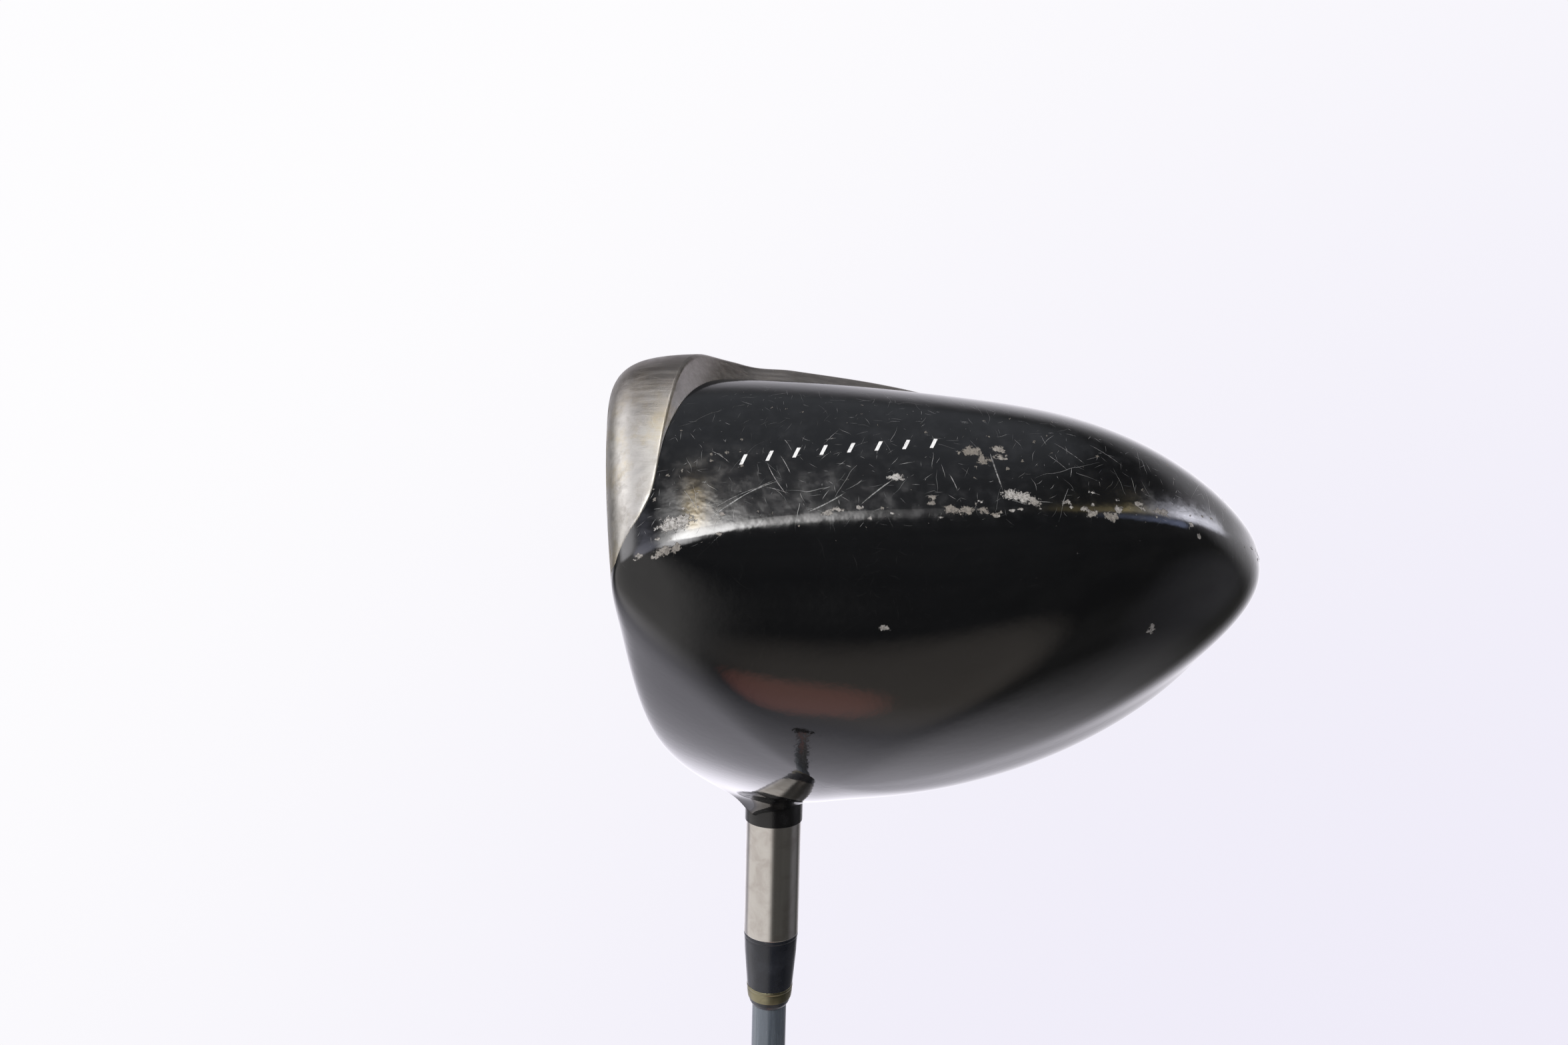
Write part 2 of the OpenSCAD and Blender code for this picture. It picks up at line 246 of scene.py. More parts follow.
def arc_at(a):
    return np.interp(a % TURN, fine_a, ridge_arc) + np.floor(a / TURN) * ridge_arc[-1]


def columns(start, end, step):
    """Places round the head from start to end, a step of arc length apart."""
    low, high = arc_at(start), arc_at(end)
    arcs = np.linspace(low, high, max(2, int(round((high - low) / step)) + 1))
    turns = np.floor(arcs / ridge_arc[-1])
    return np.interp(arcs - turns * ridge_arc[-1], ridge_arc, fine_a) + turns * TURN


def skin_coords(a, w, front):
    """Arc length along the ridge and distance down from it, for marks on the paint."""
    share = np.linspace(0, 1, 40)
    a, w = np.broadcast_arrays(np.asarray(a, float), np.asarray(w, float))
    path = head_point(a[..., None], 1 + (w[..., None] - 1) * share, front)
    down = np.linalg.norm(np.diff(path, axis=-2), axis=-1).sum(-1) * np.sign(w - 1)
    return np.stack([np.interp(a % TURN, fine_a, ridge_arc), down, 0 * down], -1)


# -------- mesh making

def make_mesh(name, verts, faces, normals=None, outer_faces=0):
    """A mesh in metres from points in millimetres. The first outer_faces faces take the given normals,
    and all faces are turned to agree with them."""
    verts = np.asarray(verts) * MM
    if normals is not None:
        middle = faces[outer_faces // 3]
        p, q, r = (verts[i] for i in middle[:3])
        if np.dot(np.cross(q - p, r - q), np.asarray(normals)[middle].sum(0)) < 0:
            faces = [f[::-1] for f in faces]
    mesh = bpy.data.meshes.new(name)
    mesh.from_pydata(verts.tolist(), [], faces)
    mesh.shade_smooth()
    mesh.set_sharp_from_angle(angle=math.radians(40))
    obj = bpy.data.objects.new(name, mesh)
    scene.collection.objects.link(obj)
    if normals is not None:
        loops = np.zeros(len(mesh.loops), int)
        mesh.loops.foreach_get("vertex_index", loops)
        end = mesh.polygons[outer_faces].loop_start
        custom = np.zeros((len(loops), 3))
        custom[:end] = np.asarray(normals)[loops[:end]]
        mesh.normals_split_custom_set(custom.tolist())
    return obj


def quads(cols, rows, wrap, start=0, flip=False, closed=False):
    """Faces between neighbours in a grid whose points are numbered column by column. The last column
    meets the first with wrap, and the last row the first with closed."""
    i, j = np.meshgrid(np.arange(cols if wrap else cols - 1), np.arange(rows if closed else rows - 1),
                       indexing="ij")
    here, beside = start + i * rows, start + (i + 1) % cols * rows
    below = (j + 1) % rows
    faces = np.stack([here + j, here + below, beside + below, beside + j], -1).reshape(-1, 4)
    return (faces[:, ::-1] if flip else faces).tolist()


def wall(outer, inner, wrap, pole=None):
    """Points and faces of a closed wall between an outer and an inner grid, columns by rows, and how
    many faces are outer ones, which come first. pole gives the points that the last row closes on."""
    cols, rows = outer.shape[:2]
    inner_rows = inner.shape[1]
    size = cols * rows
    tip = size + cols * inner_rows
    steps = [(i, (i + 1) % cols) for i in range(cols if wrap else cols - 1)]
    verts = np.concatenate([outer.reshape(-1, 3), inner.reshape(-1, 3)] + ([] if pole is None else [pole]))
    faces = quads(cols, rows, wrap)
    if pole is not None:
        faces += [[i * rows + rows - 1, tip, k * rows + rows - 1] for i, k in steps]
    outer_faces = len(faces)
    faces += quads(cols, inner_rows, wrap, size, True)
    for i, k in steps:
        faces.append([size + i * inner_rows, i * rows, k * rows, size + k * inner_rows])
        inner_end, inner_next = (size + n * inner_rows + inner_rows - 1 for n in (i, k))
        if pole is None:
            faces.append([i * rows + rows - 1, inner_end, inner_next, k * rows + rows - 1])
        else:
            faces.append([inner_next, tip + 1, inner_end])
    if not wrap:
        for i, back in ((0, False), (cols - 1, True)):
            edge = [i * rows + j for j in range(rows)]
            edge += [size + i * inner_rows + j for j in reversed(range(inner_rows))]
            faces.append(edge if back else edge[::-1])
    return verts, faces, outer_faces


def shell(name, outer, inner, normals, wrap, pole=None):
    """A wall of the head from points in the head's frame, with the outer grid's normals."""
    pole = None if pole is None else to_club(pole)
    verts, faces, outer_faces = wall(to_club(outer), to_club(inner), wrap, pole)
    padded = np.zeros(verts.shape)
    padded[:outer.shape[0] * outer.shape[1]] = (normals @ HEAD_WAYS).reshape(-1, 3)
    if pole is not None:
        padded[-2] = unit(pole[0] - pole[1])
    return make_mesh(name, verts, faces, padded, outer_faces)


def joined(parts):
    """Points and faces of several parts as those of one mesh."""
    verts, faces = [], []
    for part_verts, part_faces in parts:
        faces += [[len(verts) + i for i in face] for face in part_faces]
        verts += list(part_verts)
    return verts, faces


def point_data(obj, name, values, rest=(0, 0, 0)):
    """Stores three values for each of the mesh's first points, and rest for the others."""
    data = np.tile(np.array(rest, np.float32), (len(obj.data.vertices), 1))
    values = np.asarray(values, np.float32).reshape(-1, 3)
    data[:len(values)] = values
    attribute = obj.data.attributes.new(name, "FLOAT_VECTOR", "POINT")
    attribute.data.foreach_set("vector", data.ravel())


def rounded(outline, radius):
    """The closed outline with each corner rounded, and a point beside each bend that keeps flats flat."""
    arc = 5
    points = []
    corners = [Vector(p) for p in outline]
    for before, corner, after in zip(corners[-1:] + corners[:-1], corners, corners[1:] + corners[:1]):
        back, forth = before - corner, after - corner
        if math.pi - back.angle(forth) < math.radians(8):
            points.append(corner)
            continue
        reach = min(radius, 0.4 * back.length, 0.4 * forth.length)
        start, end = corner + back.normalized() * reach, corner + forth.normalized() * reach
        points.append(start + back.normalized() * reach * 0.2)
        for t in np.linspace(0, 1, arc + 1):
            points.append(start * (1 - t)**2 + corner * 2 * t * (1 - t) + end * t**2)
        points.append(end + forth.normalized() * reach * 0.2)
    return points


def ring(outline, segments, radius):
    """Points and faces of a ring turned round the shaft's axis from a closed outline of (radius, height)."""
    profile = rounded(outline, radius)
    area = sum(p[0] * q[1] - q[0] * p[1] for p, q in zip(profile, profile[1:] + profile[:1]))
    angle = np.arange(segments)[:, None] / segments * FULL_TURN
    r, z = np.array([tuple(p) for p in profile]).T
    grid = np.stack(np.broadcast_arrays(np.cos(angle) * r, np.sin(angle) * r, z), -1)
    return grid.reshape(-1, 3), quads(segments, len(profile), True, 0, area > 0, True)


def turned(name, outline, segments, radius):
    return make_mesh(name, *ring(outline, segments, radius))


def finish_piece(obj, material, slot, *nodes):
    """Gives a piece its material, puts it under the root body and hides the CAD nodes it stands for; slot is
    not used.
    """
    obj.data.materials.clear()
    obj.data.materials.append(material)
    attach(obj, "root")
    if nodes:
        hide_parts(*nodes)


# -------- shader making

class Graph:
    """A material's node tree, built by short calls. The materials below call it g."""

    def __init__(self, name, tree=None):
        if tree is None:
            self.material = bpy.data.materials.new(name)
            self.material.use_nodes = True
            tree = self.material.node_tree
        self.tree = tree
        tree.nodes.clear()

    def node(self, kind, settings=None, **sockets):
        """A node with its settings and inputs: an input is named with _ for a space, or by i and number."""
        made = self.tree.nodes.new("ShaderNode" + kind)
        for key, value in (settings or {}).items():
            setattr(made, key, value)
        for key, value in sockets.items():
            wanted = int(key[1:]) if key[0] == "i" and key[1:].isdigit() else key.replace("_", " ")
            if value is not None:
                self.feed(made.inputs[wanted], value)
        return made

    def feed(self, socket, value):
        if isinstance(value, bpy.types.NodeSocket):
            self.tree.links.new(value, socket)
        elif socket.type == "RGBA" and len(value) == 3:
            socket.default_value = (*value, 1)
        else:
            socket.default_value = value

    def math(self, operation, a, b=0.0, c=0.0):
        return self.node("Math", {"operation": operation}, i0=a, i1=b, i2=c).outputs[0]

    def times(self, a, b):
        return self.math("MULTIPLY", a, b)

    def times_add(self, a, b, c):
        return self.math("MULTIPLY_ADD", a, b, c)

    def vector(self, operation, a, b=(0, 0, 0)):
        made = self.node("VectorMath", {"operation": operation}, i0=a)
        self.feed(made.inputs["Scale" if operation == "SCALE" else 1], b)
        return made.outputs["Value" if operation in ("DOT_PRODUCT", "LENGTH") else "Vector"]

    def step(self, value, low, high, to_low=0.0, to_high=1.0):
        """Smooth change from to_low at low to to_high at high."""
        return self.node("MapRange", {"interpolation_type": "SMOOTHSTEP"}, Value=value,
                         From_Min=low, From_Max=high, To_Min=to_low, To_Max=to_high).outputs["Result"]

    def mix(self, share, a, b):
        """Colour between a and b."""
        return self.node("Mix", {"data_type": "RGBA"}, Factor=share, i6=a, i7=b).outputs[2]

    def blend(self, share, a, b):
        """Number between a and b."""
        return self.node("Mix", i0=share, i2=a, i3=b).outputs[0]

    def noise(self, place, scale, detail=3.0, rough=0.55, warp=0.0):
        return self.node("TexNoise", Vector=place, Scale=scale, Detail=detail,
                         Roughness=rough, Distortion=warp).outputs[0]

    def attribute(self, name):
        return self.node("Attribute", {"attribute_name": name}).outputs["Vector"]

    def place(self):
        """The point on the piece, in millimetres."""
        return self.vector("SCALE", self.node("TexCoord").outputs["Object"], 1 / MM)

    def stretched(self, place, way, detail, rough):
        """Noise drawn out where way's scale is small."""
        return self.noise(self.vector("MULTIPLY", place, way), 1.0, detail, rough)

    def bump(self, height, distance, strength=1.0, normal=None):
        return self.node("Bump", Height=height, Distance=distance, Strength=strength,
                         Normal=normal).outputs[0]

    def surface(self, color, rough, normal, **sockets):
        """The finished material."""
        shader = self.node("BsdfPrincipled", Base_Color=color, Roughness=rough, Normal=normal, **sockets)
        self.node("OutputMaterial", Surface=shader.outputs[0])
        return self.material

    def scratches(self, place, cell, width, length, share):
        """Short, slightly curved scratches at random angles, one to a cell; sizes are in millimetres."""
        bend = 0.2
        spot = self.vector("SCALE", place, 1 / cell)
        cells = self.node("TexVoronoi", {"voronoi_dimensions": "2D"}, Vector=spot, Scale=1.0)
        chance = self.node("SeparateColor", Color=cells.outputs["Color"]).outputs
        off = self.vector("SUBTRACT", spot, cells.outputs["Position"])
        turn = self.times(chance[0], math.pi)
        along = self.node("VectorRotate", {"rotation_type": "Z_AXIS"}, Vector=off, Angle=turn)
        x, y, _ = self.node("SeparateXYZ", Vector=along.outputs[0]).outputs
        curve = self.times(self.math("SUBTRACT", chance[2], 0.5), bend)
        across = self.math("ABSOLUTE", self.times_add(self.times(x, x), curve, y))
        faint = self.times_add(self.math("FRACT", self.times(chance[0], 9.1)), 0.75, 0.25)
        reach = self.times(chance[1], 0.5 * length / cell)
        thin = self.math("SUBTRACT", 1.0, self.math("DIVIDE", self.math("ABSOLUTE", x), reach))
        half = self.times(self.math("MAXIMUM", thin, 0.0), width / cell)
        line = self.math("LESS_THAN", across, half)
        shown = self.math("LESS_THAN", self.math("FRACT", self.times(chance[2], 7.3)), share)
        return self.times(self.times(line, shown), faint)

    def long_scratch(self, place, start, end, width, sag):
        """One scratch between two points in place's own first two axes, bowed by sag millimetres."""
        start, end = Vector((*start, 0)), Vector((*end, 0))
        way = (end - start).normalized()
        half = (end - start).length / 2
        off = self.vector("SUBTRACT", place, tuple((start + end) / 2))
        along = self.vector("DOT_PRODUCT", off, tuple(way))
        across = self.vector("DOT_PRODUCT", off, (-way.y, way.x, 0))
        bow = self.times_add(self.times(along, along), sag / half**2, across)
        taper = self.math("SUBTRACT", 1.0, self.math("DIVIDE", self.math("ABSOLUTE", along), half))
        room = self.times(self.step(taper, 0.0, 0.5), width)
        return self.math("LESS_THAN", self.math("ABSOLUTE", bow), room)

    def most(self, values):
        total = values[0]
        for value in values[1:]:
            total = self.math("MAXIMUM", total, value)
        return total


# -------- marks on the paint

# Chips: place round the head, place down the section, radius, and tone from 0, beige, to 1, pale
CHIPS = [(2.36, 1.03, 2.2, 0.9), (2.44, 1.035, 1.6, 0.8), (2.28, 0.925, 1.3, 0.3), (2.36, 0.925, 1.2, 0.2),
         (2.07, 0.945, 0.8, 0.5), (2.21, 0.91, 0.7, 0.5), (3.54, 1.11, 1.2, 1.0), (3.36, 1.013, 0.7, 0.6),
         (3.92, 1.2, 1.5, 0.1), (3.97, 1.17, 1.3, 0.1), (4.05, 1.21, 1.2, 0.3), (4.06, 1.18, 0.9, 0.4),
         (4.1, 1.045, 1.5, 0.9), (4.16, 1.035, 1.5, 0.7), (4.22, 1.015, 1.1, 0.4), (3.71, 1.04, 0.9, 0.2),
         (3.71, 1.02, 0.7, 0.2), (3.2, 1.0, 0.9, 0.5), (3.26, 1.01, 0.8, 0.5), (3.8, 0.995, 1.2, 0.1),
         (3.88, 0.99, 1.2, 0.1), (3.96, 0.99, 0.9, 0.1), (4.38, 1.015, 0.7, 0.6), (4.51, 0.965, 1.0, 0.4),
         (4.47, 0.985, 0.8, 0.5), (4.62, 0.96, 1.3, 0.3), (4.66, 0.99, 0.9, 0.6), (4.78, 1.02, 0.9, 0.4),
         (4.9, 1.0, 1.0, 0.3), (4.94, 0.995, 0.9, 0.3), (5.19, 0.93, 0.7, 0.5), (5.12, 0.97, 0.7, 0.6),
         (5.36, 0.62, 1.1, 1.0), (5.33, 0.63, 0.9, 1.0), (3.55, 0.605, 0.9, 0.7), (8.2, 1.02, 1.1, 0.4),
         (9.1, 0.99, 0.9, 0.3), (6.6, 1.0, 1.0, 0.5), (6.9, 1.04, 0.8, 0.2), (10.2, 1.03, 1.0, 0.6)]
SMALL_CHIPS = 46
CHIP_DEPTH = 0.07
CHIP_STRETCH = 0.35

chance = np.random.default_rng(4)
small = np.stack([chance.uniform(1.9, 6.2, SMALL_CHIPS), chance.normal(1.0, 0.028, SMALL_CHIPS),
                  chance.uniform(0.25, 0.6, SMALL_CHIPS), chance.uniform(0, 1, SMALL_CHIPS)], 1)
chips = np.concatenate([np.array(CHIPS), small])
chip_spots = head_point(chips[:, 0], chips[:, 1], SKIRT_SQUARE)
chip_ways = unit(head_point(chips[:, 0] + 0.01, chips[:, 1], SKIRT_SQUARE) - chip_spots)


def chip_field(points):
    """How far inside a chip each point is, 1 at its middle and below 0 outside, and the chip's tone."""
    near = np.full(points.shape[:-1], -1.0)
    tone = np.zeros(points.shape[:-1])
    for spot, way, (radius, shade) in zip(chip_spots, chip_ways, chips[:, 2:]):
        off = points - spot
        off = off - (off @ way)[..., None] * way * CHIP_STRETCH
        inside = 1 - np.linalg.norm(off, axis=-1) / radius
        tone = np.where(inside > near, shade, tone)
        near = np.maximum(near, inside)
    return near, tone


def wear_field(a, w):
    """How worn the paint is: most on the toe side next to the ridge, least in the middle of the crown."""
    round_head = 0.3 + 0.7 * rise(a, 1.6, 2.2) * (1 - rise(a, 5.2, 6.4))
    down = rise(w, 0.9, 1.0) * (1 - 0.75 * rise(w, 1.25, 1.42))
    return round_head * (0.12 + 0.88 * down)


def painted_shell(name, a, w, wrap, closed_above):
    """A painted wall of the head, with its chips pressed in and what its material needs stored on it."""
    places = spread(a, w)
    points = head_point(places, w, SKIRT_SQUARE)
    normals = head_normal(places, w, SKIRT_SQUARE)
    near, tone = chip_field(points)
    outer = points - normals * (CHIP_DEPTH * rise(near, 0.1, 0.4))[..., None]
    inner_w = w[:, np.linspace(0, w.shape[1] - 1, 14).astype(int)]
    inner = under(spread(a, inner_w), inner_w, SKIRT_SQUARE, SHELL_WALL)
    top = head_point(0, 0, SKIRT_SQUARE)
    pole = np.array([top, top - [0, 0, SHELL_WALL]]) if closed_above else None
    obj = shell(name, outer, inner, normals, wrap, pole)
    point_data(obj, "head", points, APEX)
    point_data(obj, "skin", skin_coords(places, w, SKIRT_SQUARE))
    point_data(obj, "marks", np.stack([near, tone, wear_field(places, w)], -1), (-1, 0, 0))
    return obj


def skin_at(a, w):
    u, v, _ = skin_coords(np.array(a), np.array(w), SKIRT_SQUARE)
    return float(u), float(v)


# Long scratches on the skirt: both ends as places on the head, half width and bow in millimetres
LONG_SCRATCHES = [((2.58, 1.03), (2.98, 1.125), 0.06, 0.7), ((2.66, 1.045), (2.95, 1.12), 0.045, 0.3),
                  ((2.6, 1.05), (2.86, 1.1), 0.035, 0.2), ((2.9, 1.17), (3.0, 1.06), 0.05, -0.3),
                  ((2.88, 1.1), (3.02, 1.07), 0.04, 0.1), ((3.36, 1.02), (3.53, 1.105), 0.09, 0.1),
                  ((4.0, 1.2), (4.06, 1.05), 0.1, -0.1), ((3.1, 1.0), (3.3, 1.06), 0.1, -0.2),
                  ((3.8, 1.12), (3.84, 1.06), 0.06, 0.1), ((2.62, 1.22), (2.72, 1.18), 0.05, 0.2),
                  ((4.35, 1.25), (4.5, 1.17), 0.04, 0.1), ((4.3, 1.2), (4.4, 1.14), 0.04, 0.1),
                  ((2.98, 1.19), (3.03, 1.13), 0.06, 0.1), ((4.55, 1.26), (4.72, 1.18), 0.035, 0.1),
                  ((2.45, 1.12), (2.52, 1.06), 0.04, 0.1), ((3.0, 1.24), (3.04, 1.2), 0.04, 0.1)]


def bare_specks(g, skin, wear):
    """Small specks where the paint has gone, more of them where it is worn."""
    crumble = g.vector("SCALE", g.node("TexNoise", Vector=skin, Scale=2.6).outputs["Color"], 1.1)
    specks = g.node("TexVoronoi", {"voronoi_dimensions": "2D"},
                    Vector=g.vector("ADD", skin, crumble), Scale=0.42)
    chance = g.node("SeparateColor", Color=specks.outputs["Color"]).outputs[0]
    size = g.times(g.step(chance, 0.78, 1.0), 0.1)
    return g.math("LESS_THAN", specks.outputs["Distance"], g.times(size, wear))


def fine_scratches(g, skin, head, wear):
    """Five layers of small scratches, in patches."""
    wobble = g.vector("SCALE", g.node("TexNoise", Vector=skin, Scale=0.12).outputs["Color"], 4.0)
    bent = g.vector("ADD", skin, wobble)
    layers = [((0, 0, 0), 8.0, 0.035, 12.0, 0.35), ((0, 0, 0), 3.4, 0.03, 4.0, 0.4),
              ((31.7, 12.1, 0), 5.0, 0.035, 7.0, 0.35), ((3.3, 77.7, 0), 2.0, 0.03, 1.8, 0.6),
              ((9.1, 5.2, 0), 2.7, 0.04, 2.6, 0.5)]
    fine = g.most([g.scratches(g.vector("ADD", bent, shift), *sizes) for shift, *sizes in layers])
    patchy = g.times_add(g.step(g.noise(head, 0.09, 2.0), 0.38, 0.62), 0.75, 0.25)
    return g.times(fine, g.times(patchy, wear))


def long_scratches(g, skin):
    long = g.most([g.long_scratch(skin, skin_at(*start), skin_at(*end), width, sag)
                   for start, end, width, sag in LONG_SCRATCHES])
    broken = g.step(g.noise(skin, 1.5, 4.0, 0.7), 0.36, 0.62)
    return g.times(long, g.times_add(broken, 0.75, 0.1))


def paint(name, gloss, scratchy, edge_dull):
    """Gloss black with chips down to the primer, specks and scratches. scratchy is how strong the fine
    scratches are, at 1 with the long ones, and edge_dull how much worn paint loses its gloss."""
    g = Graph(name)
    skin, head = g.attribute("skin"), g.attribute("head")
    near, tone, wear = g.node("SeparateXYZ", Vector=g.attribute("marks")).outputs

    ragged = g.times_add(g.noise(head, 1.4, 5.0, 0.75), 2.0, -1.32)
    chipped = g.step(g.math("ADD", near, ragged), 0.12, 0.2)
    bare = g.math("MAXIMUM", chipped, g.times(bare_specks(g, skin, wear), 0.8))
    dull = g.times(fine_scratches(g, skin, head, wear), scratchy)
    if scratchy == 1:
        dull = g.math("MAXIMUM", dull, long_scratches(g, skin))

    primer = g.mix(tone, (0.15, 0.132, 0.108), (0.42, 0.41, 0.395))
    primer = g.mix(g.step(g.noise(head, 2.6, 4.0, 0.7), 0.35, 0.7), primer, (0.07, 0.063, 0.055))
    haze = g.times(g.step(g.noise(head, 0.35, 5.0, 0.6), 0.4, 0.8), wear)
    color = g.mix(g.times(haze, 0.16), (0.0035, 0.0038, 0.0045), (0.045, 0.047, 0.052))
    color = g.mix(g.times(dull, 0.8), color, (0.27, 0.27, 0.27))
    color = g.mix(bare, color, primer)
    rough = g.times_add(haze, 0.10, gloss)
    rough = g.times_add(g.times(wear, wear), edge_dull, rough)
    rough = g.times_add(dull, 0.25, rough)
    rough = g.blend(bare, rough, 0.55)
    peel = g.bump(g.noise(head, 0.55, 2.0), 0.00003, 0.5)
    relief = g.math("ADD", g.times(bare, -1.0), g.times(dull, -0.3))
    relief = g.times_add(g.times(g.noise(head, 4.0, 3.0), bare), 0.7, relief)
    return g.surface(color, rough, g.bump(relief, 0.0001, 0.7, peel), IOR=1.52)


def bare_titanium(name, polish=0.0):
    """Cast and brushed metal, grey-beige with brown and yellow stains, and darker towards the sole."""
    g = Graph(name)
    here = g.place()
    cloud = g.noise(here, 0.1, 5.0, 0.65, 0.4)
    blotch = g.noise(here, 0.4, 5.0, 0.7, 0.2)
    stain = g.step(g.noise(g.vector("ADD", here, (40, 0, 9)), 0.13, 5.0, 0.7), 0.46, 0.7)
    color = g.mix(g.step(cloud, 0.35, 0.65), (0.255, 0.246, 0.228), (0.325, 0.315, 0.294))
    color = g.mix(g.times(stain, 0.65), color, (0.30, 0.25, 0.15))
    color = g.mix(g.step(blotch, 0.5, 0.75, 0.0, 0.45), color, (0.17, 0.152, 0.13))
    up = g.times_add(blotch, 5.0, g.node("SeparateXYZ", Vector=here).outputs[2])
    # Base colour goes darker brown-grey towards the sole's far end, with the edge broken up by the blotch
    # noise
    sole_darkening = g.step(up, SOLE_HEIGHT - 13, SOLE_HEIGHT + 1, 0.0, 0.85)
    color = g.mix(sole_darkening, color, (0.155, 0.138, 0.128))
    grain = g.stretched(here, (0.24, 5.0, 5.0), 4.0, 0.65)
    brushed = g.stretched(here, (0.025, 1.1, 1.1), 6.0, 0.75)
    color = g.mix(g.step(brushed, 0.38, 0.66, 0.0, 0.22), color, (0.44, 0.43, 0.405))
    pits = g.noise(here, 2.8, 3.0, 0.7)
    nick = g.most([g.scratches(here, 9.0, 0.04, 14.0, 0.5), g.scratches(here, 4.0, 0.03, 6.0, 0.45)])
    color = g.mix(g.times(nick, 0.35), color, (0.6, 0.59, 0.57))
    rough = g.times_add(g.step(blotch, 0.35, 0.75), 0.12, 0.27 - polish)
    rough = g.times_add(g.step(brushed, 0.3, 0.7), 0.12, rough)
    rough = g.times_add(grain, 0.12, rough)
    relief = g.times_add(pits, 0.5, g.times_add(nick, -1.5, grain))
    return g.surface(color, rough, g.bump(relief, 0.00002, 0.7), Metallic=1.0)


def turned_metal(name, tint, dark, rough):
    """Metal turned on a lathe: fine rings round the axis, smudges and a few nicks."""
    g = Graph(name)
    here = g.place()
    rings = g.stretched(here, (0.05, 0.05, 6.0), 4.0, 0.7)
    smudge = g.noise(here, 0.25, 4.0, 0.6, 0.5)
    color = g.mix(g.step(smudge, 0.4, 0.75), tint, dark)
    nick = g.scratches(here, 4.0, 0.05, 5.0, 0.4)
    gloss = g.times_add(rings, 0.14, g.times_add(smudge, 0.12, rough - 0.12))
    relief = g.times_add(nick, -2.0, rings)
    return g.surface(color, gloss, g.bump(relief, 0.00001, 0.7), Metallic=1.0)


def moulded(name, tint, dusty, rough, grain=3.0, depth=0.00003):
    """Plastic or rubber: fine grain, dust in patches and a soft variation of gloss."""
    g = Graph(name)
    here = g.place()
    patch = g.noise(here, 0.18, 4.0, 0.6)
    fine = g.noise(here, grain, 3.0, 0.6)
    color = g.mix(g.step(patch, 0.42, 0.78), tint, dusty)
    gloss = g.times_add(patch, 0.2, rough - 0.1)
    scuff = g.scratches(here, 6.0, 0.05, 6.0, 0.35)
    color = g.mix(g.times(scuff, 0.25), color, dusty)
    return g.surface(color, gloss, g.bump(g.times_add(scuff, -0.6, fine), depth, 0.8), IOR=1.5)


def shaft_paint(name):
    """Blue-grey lacquer over wound carbon: faint tows along it under a smooth coat."""
    g = Graph(name)
    here = g.place()
    tows = g.stretched(here, (1.08, 1.08, 0.048), 4.0, 0.6)
    flake = g.node("TexVoronoi", Vector=here, Scale=9.0).outputs["Color"]
    sparkle = g.times(g.node("SeparateColor", Color=flake).outputs[0], 0.35)
    wear = g.scratches(here, 9.0, 0.05, 12.0, 0.5)
    color = g.mix(g.math("ADD", g.step(tows, 0.3, 0.7, 0.0, 0.6), sparkle),
                  (0.085, 0.105, 0.13), (0.145, 0.17, 0.205))
    color = g.mix(g.times(wear, 0.5), color, (0.33, 0.35, 0.38))
    rough = g.times_add(wear, 0.2, g.times_add(tows, 0.1, 0.22))
    return g.surface(color, rough, g.bump(tows, 0.00001, 0.4), Metallic=0.35, IOR=1.5, Coat_Weight=0.6,
                     Coat_Roughness=0.08)


def woven_tape(name):
    """Pale masking tape with a fine weave."""
    g = Graph(name)
    here = g.place()
    weave = g.node("TexWave", {"bands_direction": "Z"}, Vector=here, Scale=0.8,
                   Distortion=1.0).outputs["Fac"]
    color = g.mix(g.times(weave, g.noise(here, 1.0)), (0.62, 0.58, 0.5), (0.75, 0.72, 0.66))
    return g.surface(color, 0.8, g.bump(weave, 0.00004))


def soft_lump(name, tint, deep):
    """Glue, cork and other soft fillings."""
    g = Graph(name)
    here = g.place()
    lumps = g.noise(here, 0.8, 5.0, 0.65, 0.3)
    color = g.mix(g.step(lumps, 0.35, 0.7), tint, deep)
    return g.surface(color, g.times_add(lumps, 0.3, 0.35), g.bump(lumps, 0.0002, 0.6))


def weld_bead(name):
    """Weld metal with its ripples and heat tint."""
    g = Graph(name)
    here = g.place()
    ripple = g.noise(here, 1.4, 2.0, 0.4, 1.5)
    color = g.mix(g.noise(here, 0.15), (0.32, 0.27, 0.30), (0.45, 0.40, 0.30))
    return g.surface(color, g.times_add(ripple, 0.3, 0.25), g.bump(ripple, 0.0003, 0.7), Metallic=1.0)


def tick_paint(name):
    """Pale printed paint, worn through in specks."""
    g = Graph(name)
    here = g.place()
    worn = g.step(g.noise(here, 2.5, 4.0, 0.7), 0.56, 0.7)
    color = g.mix(worn, (0.66, 0.66, 0.66), (0.12, 0.12, 0.12))
    return g.surface(color, g.blend(worn, 0.35, 0.6), g.bump(worn, 0.00002))


# -------- the head's pieces

def body_columns(start, end):
    """Columns from start round the back to end, closer together where the skirt's edge bends up."""
    bend_end, bend_start = 2.75, 11.0
    return np.concatenate([columns(start, bend_end, 0.4)[:-1], columns(bend_end, bend_start, 0.75)[:-1],
                           columns(bend_start, end, 0.4)])


def crown_piece():
    a = columns(0, TURN, 0.75)[:-1]
    down = np.concatenate([np.linspace(1, 0.9, 18)[:-1], np.linspace(0.9, 0.03, 96)])
    w = np.broadcast_to(down, (len(a), len(down)))
    return painted_shell("crown_skin", a, w, True, True)


def skirt_piece():
    a = body_columns(1.76, 11.79)
    share = np.concatenate([np.linspace(0, 0.2, 14)[:-1], np.linspace(0.2, 1, 56)])
    w = 1 + (skirt_end(a)[:, None] - 1) * share
    return painted_shell("skirt_skin", a, w, False, False)


# The sole plate: its columns either side of the face insert's toe end, its last row, its rim's radius
# and how far round the section the rim reaches
SEAM_AT_TOE = (INSERT_TOE - 0.01, INSERT_TOE + 0.01)
PLATE_END = 1.975
PLATE_RIM = 0.9
PLATE_TURN = 0.025


